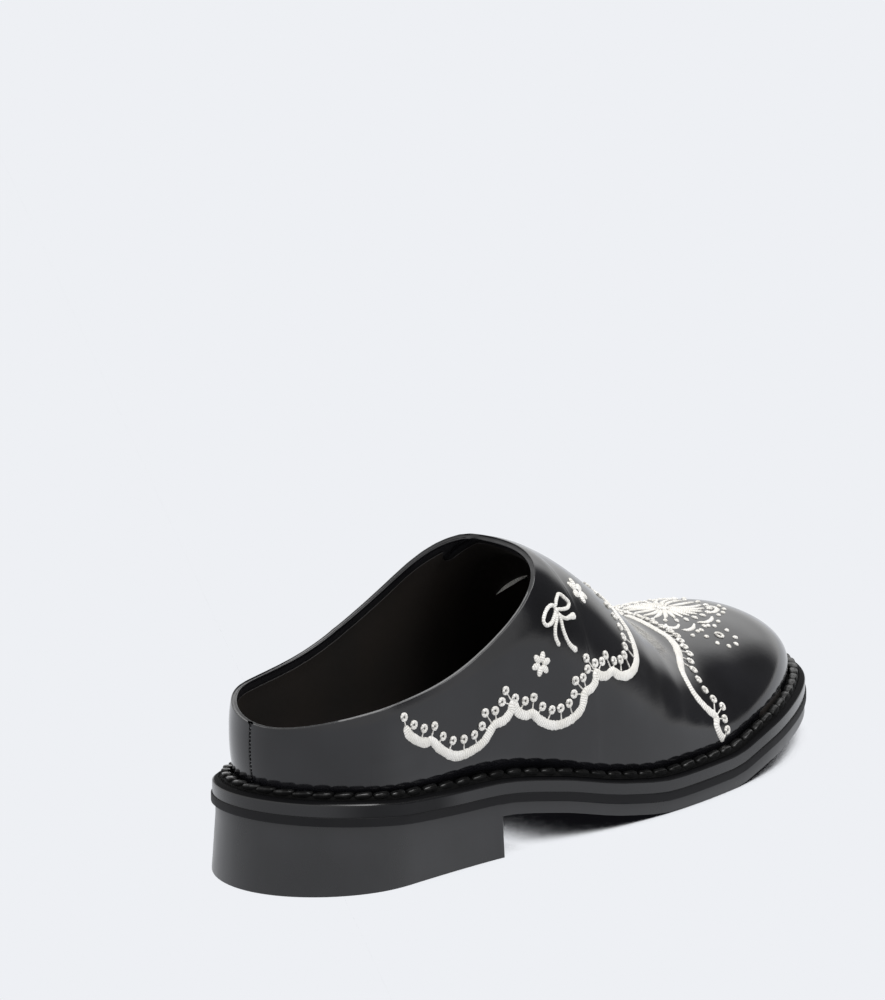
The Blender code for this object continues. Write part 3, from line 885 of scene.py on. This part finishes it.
def make_spray(tray, chart, side):
    """Fan of fine rays across the ridge of the vamp, with knots at their tips, and rings of dots beside it."""
    middle, normal = chart.spot(SPRAY_MIDDLE, 90, side)
    along = Vector((1, 0, 0))
    across = Vector((0, side, 0))
    for long, degrees in SPRAY_RAYS:
        if degrees in (0, 180) and side == INNER:
            continue
        turn = math.radians(degrees)
        axis = along * math.cos(turn) + across * math.sin(turn)
        bend = across * (0 if degrees in (0, 180) else 0.10 * long * MM * (1 if degrees < 90 else 0.6))
        start, tip = middle + axis * 2.2 * MM, middle + axis * long * MM
        knots = [start, start.lerp(tip, 0.5) + bend, tip]
        places = [chart.settle(point) for point in smooth_line(knots, RAY_STEPS)]
        swell = [math.sin(math.pi * i / (RAY_STEPS - 1)) for i in range(RAY_STEPS)]
        widths = [(0.5 + (SPRAY_LEAF - 0.3) * share) * MM for share in swell]
        stitched_band(tray, places, widths, RAY_HEIGHT)
        raised_dot(tray, chart.settle(middle + axis * (long + 1.6) * MM), 2.3 * MM, 1.6 * MM, turn * side)
    for curl in CURLS:
        band_on_leather(tray, chart, curl, side, CURL_HEIGHT, step=0.5 * MM)
    if side == OUTER:
        for k in range(PETALS):
            raised_dot(tray, (middle, normal), 2.4 * MM, 1.5 * MM, k * math.pi / 3, shift=1.5 * MM)
    for x, turn, radius, count in DOT_WHEELS:
        place, normal = chart.spot(x, turn, side)
        stitched_ring(tray, (place, normal), 1.25 * MM, 0.5 * MM, random.Random(1))
        ahead, up = leather_frame(normal)
        for k in range(count):
            angle = 2 * math.pi * k / count + 0.2
            spot = chart.settle(place + (ahead * math.cos(angle) + up * math.sin(angle)) * radius * MM)
            raised_dot(tray, spot, 1.9 * MM, 1.6 * MM, angle)
    for x, turn in DOTS:
        raised_dot(tray, chart.spot(x, turn, side), 2.0 * MM, 1.6 * MM, 0.3)


SEAM_TOP, SEAM_LOW = 49.0 * MM, 31.0 * MM
SEAM_STITCHES = 17


def make_seam_stitches(chart, look):
    """Black stitches down the back seam, and the small bar of thread that locks it on the collar."""
    tray = Tray()
    for k in range(SEAM_STITCHES):
        z = SEAM_TOP + (SEAM_LOW - SEAM_TOP) * k / (SEAM_STITCHES - 1)
        place, normal = chart.settle(Vector((-30 * MM, SEAM_Y, z)))
        lean = 0.25 if k % 2 else -0.25
        pillow(tray, place + normal * 0.02 * MM, Vector((0, lean, -1)).normalized(), Vector((0, 1, 0)), 0.95 * MM,
               0.42 * MM, 0.42 * MM, rings=4, segments=6)
    place, normal = chart.settle(Vector((-32 * MM, SEAM_Y, 51.5 * MM)))
    for k in range(4):
        pillow(tray, place + Vector((0, (k - 1.5) * 0.45 * MM, 0)) + normal * 0.1 * MM,
               Vector((0, 0.5, 1)).normalized(), Vector((0, 1, 0)), 1.1 * MM, 0.5 * MM, 0.6 * MM, rings=5,
               segments=6)
    return piece("back_seam_stitches", tray.joined(), look)


def make_insole(look):
    bm = merged("insole")
    bmesh.ops.join_triangles(bm, faces=bm.faces, angle_face_threshold=0.3, angle_shape_threshold=1.2)
    return piece("footbed", bm, look, ("insole",), smooth_angle=0.6)


# Finishes

class Wire:
    """An output in a material. Sums on it add Math nodes."""

    def __init__(self, look, out):
        self.look, self.out = look, out

    def sum(self, operation, *others):
        return self.look.node("ShaderNodeMath", {"operation": operation}, *(self, *others))

    def __add__(self, other): return self.sum("ADD", other)
    def __sub__(self, other): return self.sum("SUBTRACT", other)
    def __mul__(self, other): return self.sum("MULTIPLY", other)
    def __radd__(self, other): return self + other
    def __rmul__(self, other): return self * other
    def __rsub__(self, other): return self.look.node("ShaderNodeMath", {"operation": "SUBTRACT"}, other, self)

    def step(self, low, high):
        """0 below low, 1 above high, eased between them."""
        eased = {"interpolation_type": "SMOOTHSTEP"}
        return self.look.node("ShaderNodeMapRange", eased, self, low, high, 0.0, 1.0)


MIX_SHARE, MIX_FIRST, MIX_SECOND, MIX_RESULT = 0, 6, 7, 2  # a Mix node's sockets for colours


class Board:
    """The board that a finish or the room is wired up on."""

    def __init__(self, tree):
        self.tree = tree

    def feed(self, socket, value):
        if isinstance(value, Wire):
            self.tree.links.new(value.out, socket)
        else:
            socket.default_value = value

    def node(self, kind, settings, *values, output=0, **named):
        made = self.tree.nodes.new(kind)
        for name, value in settings.items():
            setattr(made, name, value)
        for socket, value in zip(made.inputs, values):
            self.feed(socket, value)
        for name, value in named.items():
            self.feed(made.inputs[name.replace("_", " ")], value)
        return Wire(self, made.outputs[output])

    def blend(self, share, first, second):
        """From one colour to another."""
        made = self.tree.nodes.new("ShaderNodeMix")
        made.data_type = "RGBA"
        for number, value in ((MIX_SHARE, share), (MIX_FIRST, first), (MIX_SECOND, second)):
            self.feed(made.inputs[number], value)
        return Wire(self, made.outputs[MIX_RESULT])


class Look(Board):
    """A finish: a Principled shader with the nodes that vary it."""

    def __init__(self, name, **constants):
        self.material = bpy.data.materials.new(name)
        self.material.use_nodes = True
        super().__init__(self.material.node_tree)
        self.shader = self.tree.nodes["Principled BSDF"]
        for socket, value in constants.items():
            self.set(socket.replace("_", " "), value)

    def set(self, socket, value):
        self.feed(self.shader.inputs[socket], value)

    def place(self):
        return self.node("ShaderNodeTexCoord", {}, output="Object")

    def place_part(self, axis):
        return self.node("ShaderNodeSeparateXYZ", {}, self.place(), output=axis)

    def noise(self, scale, detail, where=None):
        return self.node("ShaderNodeTexNoise", {}, Vector=where or self.place(), Scale=scale, Detail=detail)

    def brushed(self):
        """Fine upright brush marks."""
        upright = self.node("ShaderNodeMapping", {}, Vector=self.place(), Scale=(1.0, 1.0, 0.12))
        return self.noise(260.0, 3.0, upright)

    def attribute(self, name):
        return self.node("ShaderNodeAttribute", {"attribute_name": name}, output="Fac")

    def relief(self, height, depth, strength=1.0):
        self.set("Normal", self.node("ShaderNodeBump", {}, Height=height, Distance=depth, Strength=strength))
        return self.material


STITCH_WAVES = 5900.0  # radians to a metre of the back seam, one wave a stitch


def leather_finish():
    """Black polished calf outside, very dark brown lining inside, with the turned collar edge between."""
    look = Look("black_polished_leather", Specular_IOR_Level=0.50)
    depth = look.attribute("collar_depth")
    seam = look.attribute("seam_way")
    lining = depth.step(3.3, 3.6)
    cloud = look.noise(38.0, 3.0)
    fine = look.noise(900.0, 2.0)
    rubbed = look.noise(120.0, 4.0)
    black = look.blend(cloud.step(0.35, 0.7), (0.006, 0.006, 0.0072, 1), (0.010, 0.010, 0.012, 1))
    brown = look.blend(cloud.step(0.3, 0.7), (0.006, 0.0042, 0.003, 1), (0.011, 0.0072, 0.0048, 1))
    look.set("Base Color", look.blend(lining, black, brown))
    facing = depth.step(0.5, 1.3)
    polish = 0.10 + 0.06 * rubbed.step(0.4, 0.75) + 0.02 * fine + 0.36 * facing
    look.set("Roughness", polish * (1.0 - lining) + 0.70 * lining)
    grain = look.node("ShaderNodeTexVoronoi", {}, output="Distance", Vector=look.place(), Scale=1500.0)
    groove = depth.step(2.9, 3.25) * (1.0 - depth.step(3.35, 3.7))
    lip = seam.step(-0.50, -0.10)
    height_on_shoe = look.place_part(2)
    prick = (height_on_shoe * STITCH_WAVES).sum("SINE").step(-0.2, 0.5)
    trench = seam.step(-0.25, 0.05) * (1.0 - seam.step(0.40, 0.62)) * (0.55 + 0.45 * prick)
    height = (grain * 0.05 + cloud * 1.2 + lining * look.noise(700.0, 3.0) * 0.5 - groove * 3.6 - lip * 2.6
              - trench * 3.4)
    return look.relief(height, 0.12 * MM)


def edge_finish(name, dark, light, roughness, gloss):
    """Sole edge, dyed and buffed: fine upright brush marks and a few rubs."""
    look = Look(name, Specular_IOR_Level=gloss)
    brushed = look.brushed()
    cloud = look.noise(45.0, 3.0)
    look.set("Base Color", look.blend(cloud.step(0.3, 0.7), dark, light))
    look.set("Roughness", roughness + 0.10 * cloud.step(0.35, 0.75) + 0.06 * brushed)
    return look.relief(brushed * 0.5 + cloud * 1.4, 0.05 * MM)


def welt_finish():
    """Dyed welt: a dry ledge coloured darker as painted shade, and an edge bright with wax along the forepart and
    rubbed dull beside the heel.
    """
    look = Look("black_welt", Specular_IOR_Level=0.04, Coat_Roughness=0.16)
    brushed = look.brushed()
    cloud = look.noise(45.0, 3.0)
    run = look.place_part(0)
    wax_and_ledge_shade = look.attribute("wax_and_ledge_shade")
    dull = run.step(-0.030, -0.016) * (1.0 - run.step(0.008, 0.022))
    bead = wax_and_ledge_shade.step(0.15, 0.35) * (1.0 - wax_and_ledge_shade.step(0.70, 0.95)) * dull
    # Painted shade: the ledge is coloured darker than the edge with wax.
    look.set("Base Color", look.blend(wax_and_ledge_shade, (0.0025, 0.0025, 0.003, 1), (0.0085, 0.0085, 0.0095, 1)))
    look.set("Roughness", 0.55 + 0.20 * cloud)
    look.set("Coat Weight", wax_and_ledge_shade.step(0.6, 0.95) * (0.85 + 0.15 * cloud) * (1.0 - dull * 0.72) + bead)
    return look.relief(brushed * 0.5 + cloud * 1.4, 0.05 * MM)


def cord_finish():
    """Black plaited leather: wax on the crowns of the strands, dry and dark between them."""
    look = Look("black_plaited_leather", Specular_IOR_Level=0.04, Coat_Roughness=0.16)
    crown = look.attribute("thread_run")
    fibre = look.noise(1100.0, 3.0)
    cloud = look.noise(420.0, 2.0)
    dark = look.blend(cloud.step(0.35, 0.7), (0.0025, 0.0025, 0.0025, 1), (0.005, 0.005, 0.005, 1))
    look.set("Base Color", dark)
    look.set("Roughness", 0.5 + 0.2 * cloud.step(0.3, 0.7))
    worn = 1.0 - 0.4 * look.place_part(0).step(0.0, 0.03)
    look.set("Coat Weight", crown.step(0.15, 0.80) * (0.35 + 0.65 * cloud.step(0.38, 0.60)) * worn)
    return look.relief(fibre + cloud * 2.4, 0.14 * MM)


def thread_finish():
    """Cream embroidery thread with a soft sheen, each stitch a fine ridge across its band, with painted shade in
    the grooves between the stitches.
    """
    look = Look("cream_thread", Sheen_Weight=0.3, Sheen_Roughness=0.35, Specular_IOR_Level=0.35)
    run = look.attribute("thread_run")
    uneven = look.noise(1400.0, 2.0)
    ridge = (run * 8.4 + uneven * 2.0).sum("SINE") * 0.5 + 0.5
    cloud = look.noise(220.0, 2.0)
    pale = look.blend(cloud.step(0.3, 0.7), (0.88, 0.86, 0.81, 1), (0.98, 0.965, 0.93, 1))
    # Painted shade: the grooves between the stitches are coloured darker.
    stitch_groove_shade = ridge.step(0.72, 1.0) * (0.35 + 0.5 * uneven)
    look.set("Base Color", look.blend(stitch_groove_shade, pale, (0.50, 0.47, 0.41, 1)))
    look.set("Roughness", 0.52 + 0.12 * uneven)
    return look.relief(uneven * 0.7 - ridge * 1.0, 0.20 * MM, 0.9)


def stitch_finish():
    look = Look("black_thread", Coat_Weight=0.6, Coat_Roughness=0.2)
    uneven = look.noise(1800.0, 2.0)
    look.set("Base Color", look.blend(uneven, (0.003, 0.003, 0.003, 1), (0.008, 0.008, 0.008, 1)))
    look.set("Roughness", 0.5 + 0.2 * uneven)
    return look.relief(uneven, 0.08 * MM)


def lining_finish():
    look = Look("dark_brown_lining", Specular_IOR_Level=0.2)
    cloud = look.noise(55.0, 3.0)
    grain = look.noise(800.0, 3.0)
    brown = look.blend(cloud.step(0.3, 0.7), (0.006, 0.0045, 0.0036, 1), (0.0095, 0.0068, 0.005, 1))
    look.set("Base Color", brown)
    look.set("Roughness", 0.55 + 0.15 * grain)
    return look.relief(grain + cloud, 0.10 * MM)


# Studio

FLOOR_TONE = (0.855, 0.871, 0.905, 1)
SHADE_TONE = (0.004, 0.004, 0.005, 1)
SHADE_REACH = 15 * MM  # how near something must be over the floor to shade it
SHADE_SHARES = (0.31, 0.47)  # of open sky, where the shade ends and where the floor is all lit
SHADE_SAMPLES = 12
FLOOR_REACH = 12  # in metres, so that its end is never seen
ROOM_TONE = (0.95, 1.15)  # at the floor and overhead
LIGHT_PLACE, LIGHT_SPOT = (0.42, -0.24, 1.42), (0.1, 0, 0)
LIGHT_SIZE, LIGHT_POWER = 0.9, 11

# Flags and screens round the shoe: tone, then where each begins and ends, in degrees from +X towards +Y and in
# degrees above the floor. Each limit is a pair, from none of it to all of it.
SCREENS = [
    (0.10, (-60, -50), (12, -4), (0, 5), (62, 46)),
    (1.45, (4, 14), (60, 40), (10, 24), (60, 40)),
    (1.60, (-100, -82), (-58, -66), (36, 50), (82, 70)),
]

# Camera of the photo: its turn and lift in degrees, the spot that it looks at and the way from there in mm, and
# in pixels its focal length, the place of that spot and the photo's size
CAMERA_TURN, CAMERA_LIFT = 36.45, 14.95
CAMERA_SPOT, CAMERA_WAY = (98, -1.4, 20), 2500
CAMERA_FOCUS = 8242.5
SPOT_ACROSS, SPOT_DOWN = 530.3, 730.8
PHOTO_WIDTH, PHOTO_HEIGHT = 885, 1000
SENSOR = 36


def make_floor():
    """A glowing table: pale all over, with a painted shadow close under the shoe."""
    look = Look("pale_floor", Roughness=1.0, Specular_IOR_Level=0.0, Emission_Strength=1.0)
    sky = look.node("ShaderNodeAmbientOcclusion", {"samples": SHADE_SAMPLES}, output="AO", Distance=SHADE_REACH)
    look.set("Base Color", (0.0, 0.0, 0.0, 1))
    # Painted shadow: the glow darkens where the floor lies close under the shoe.
    look.set("Emission Color", look.blend(sky.step(*SHADE_SHARES), SHADE_TONE, FLOOR_TONE))
    bm = bmesh.new()
    bmesh.ops.create_grid(bm, x_segments=1, y_segments=1, size=FLOOR_REACH)
    mesh = as_mesh("floor", bm)
    mesh.materials.append(look.material)
    add_object("floor", mesh)


def make_light():
    """A soft square light overhead, which the camera doesn't see."""
    lamp = bpy.data.lights.new("overhead_box", "AREA")
    lamp.size = LIGHT_SIZE
    lamp.energy = LIGHT_POWER
    made = add_object("overhead_box", lamp)
    made.location = LIGHT_PLACE
    made.rotation_euler = (Vector(LIGHT_SPOT) - Vector(LIGHT_PLACE)).to_track_quat("-Z", "Y").to_euler()
    made.visible_camera = False


def make_room():
    """A pale room for the leather to mirror, with a dark flag beside the outer side and two brighter screens."""
    world = bpy.data.worlds.new("room")
    bpy.context.scene.world = world
    world.use_nodes = True
    board = Board(world.node_tree)
    way = board.node("ShaderNodeTexCoord", {}, output="Generated")
    x, y, z = (board.node("ShaderNodeSeparateXYZ", {}, way, output=k) for k in range(3))
    turn = y.sum("ARCTAN2", x) * (180 / math.pi)
    lift = z.sum("ARCSINE") * (180 / math.pi)
    tone = ROOM_TONE[0] + lift.step(15, 75) * (ROOM_TONE[1] - ROOM_TONE[0])
    for shade, start, end, above, below in SCREENS:
        share = turn.step(*start) * turn.step(*end) * lift.step(*above) * lift.step(*below)
        tone = tone + share * (shade - tone)
    board.feed(world.node_tree.nodes["Background"].inputs["Strength"], tone)
    board.feed(world.node_tree.nodes["Background"].inputs["Color"], (1.0, 1.0, 1.0, 1))


def make_camera():
    turn, lift = math.radians(CAMERA_TURN), math.radians(CAMERA_LIFT)
    away = Vector((-math.cos(turn) * math.cos(lift), -math.sin(turn) * math.cos(lift), math.sin(lift)))
    data = bpy.data.cameras.new("photo_view")
    data.sensor_width = SENSOR
    data.lens = SENSOR * CAMERA_FOCUS / PHOTO_HEIGHT
    data.shift_x = (PHOTO_WIDTH / 2 - SPOT_ACROSS) / PHOTO_HEIGHT
    data.shift_y = (SPOT_DOWN - PHOTO_HEIGHT / 2) / PHOTO_HEIGHT
    data.clip_end = 100
    made = add_object("photo_view", data)
    made.location = Vector(CAMERA_SPOT) * MM + away * CAMERA_WAY * MM
    made.rotation_euler = (-away).to_track_quat("-Z", "Y").to_euler()
    bpy.context.scene.camera = made


def main():
    bpy.context.scene.view_settings.view_transform = "Standard"
    leather = leather_finish()
    thread = thread_finish()
    make_welt(welt_finish())
    make_strip(edge_finish("dull_strip", (0.006, 0.006, 0.007, 1), (0.010, 0.010, 0.011, 1), 0.55, 0.16))
    make_outsole(edge_finish("buffed_sole_edge", (0.012, 0.012, 0.013, 1), (0.018, 0.018, 0.020, 1), 0.24, 0.50))
    make_cord(cord_finish())
    make_insole(lining_finish())
    upper = make_upper(leather)
    chart = Chart(upper)
    for side in (OUTER, INNER):
        make_embroidery(chart, side, thread)
    make_seam_stitches(chart, stitch_finish())
    make_floor()
    make_room()
    make_light()
    make_camera()


OUTLINE = Outline(sole_outline())
main()
